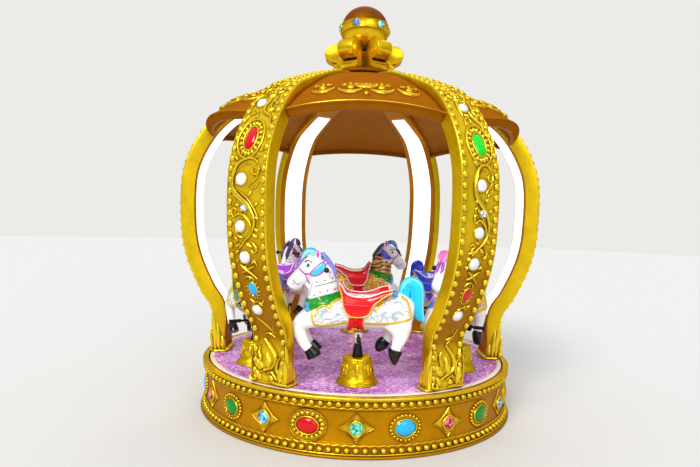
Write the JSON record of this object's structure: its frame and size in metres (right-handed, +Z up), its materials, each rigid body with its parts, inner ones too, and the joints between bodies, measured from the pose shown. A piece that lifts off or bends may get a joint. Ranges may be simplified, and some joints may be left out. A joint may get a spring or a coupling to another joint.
{
  "type": "fairground carousel",
  "caption": "Children's carousel shaped like a crown: jewelled round base, turning deck, horses on lifting posts, curved ribs and a domed roof with a ball finial.",
  "frame": {"origin": "centre of the round base on the ground", "axes": "+Z up, -Y towards the front bay, +X to the right seen from the front"},
  "size_m": [2.798, 2.571, 3.118],
  "materials": {
    "gold_paint": "gloss",
    "dark_gold_paint": "gloss",
    "deck_paint": "gloss",
    "steel": "satin",
    "light_diffuser": "satin",
    "horse_gloss": "gloss",
    "post_paint": "gloss"
  },
  "bodies": {
    "base": {"base_skirt": "gold_paint", "base_plate": "steel", "centre_bearing": "steel"},
    "turntable": {"turntable_deck": "deck_paint", "bell_1": "gold_paint", "bell_2": "gold_paint", "bell_3": "gold_paint", "bell_4": "gold_paint", "bell_5": "gold_paint", "bell_6": "gold_paint", "rib_1": "gold_paint", "rib_2": "gold_paint", "rib_3": "gold_paint", "rib_4": "gold_paint", "rib_5": "gold_paint", "rib_6": "gold_paint", "light_strip_1": "light_diffuser", "light_strip_2": "light_diffuser", "light_strip_3": "light_diffuser", "light_strip_4": "light_diffuser", "light_strip_5": "light_diffuser", "light_strip_6": "light_diffuser", "roof_panel_1": "dark_gold_paint", "roof_panel_2": "dark_gold_paint", "roof_panel_3": "dark_gold_paint", "roof_panel_4": "dark_gold_paint", "roof_panel_5": "dark_gold_paint", "roof_panel_6": "dark_gold_paint", "finial_scrolls": "gold_paint", "finial_ball": "gold_paint"},
    "horse_1_body": {"horse_1": "horse_gloss", "horse_post_1": "post_paint"},
    "horse_2_body": {"horse_2": "horse_gloss", "horse_post_2": "post_paint"},
    "horse_3_body": {"horse_3": "horse_gloss", "horse_post_3": "post_paint"},
    "horse_4_body": {"horse_4": "horse_gloss", "horse_post_4": "post_paint"},
    "horse_5_body": {"horse_5": "horse_gloss", "horse_post_5": "post_paint"},
    "horse_6_body": {"horse_6": "horse_gloss", "horse_post_6": "post_paint"}
  },
  "joints": [
    {"name": "turntable_spin", "type": "hinge", "parent": "base", "child": "turntable", "pos_m": [0, 0, 0.2], "axis": [0, 0, -1], "continuous": true},
    {"name": "horse_1_lift", "type": "slide", "parent": "turntable", "child": "horse_1_body", "axis": [0, 0, 1], "range_m": [0, 0.12]},
    {"name": "horse_2_lift", "type": "slide", "parent": "turntable", "child": "horse_2_body", "axis": [0, 0, 1], "range_m": [0, 0.12]},
    {"name": "horse_3_lift", "type": "slide", "parent": "turntable", "child": "horse_3_body", "axis": [0, 0, 1], "range_m": [0, 0.12]},
    {"name": "horse_4_lift", "type": "slide", "parent": "turntable", "child": "horse_4_body", "axis": [0, 0, 1], "range_m": [0, 0.12]},
    {"name": "horse_5_lift", "type": "slide", "parent": "turntable", "child": "horse_5_body", "axis": [0, 0, 1], "range_m": [0, 0.12]},
    {"name": "horse_6_lift", "type": "slide", "parent": "turntable", "child": "horse_6_body", "axis": [0, 0, 1], "range_m": [0, 0.12]}
  ]
}
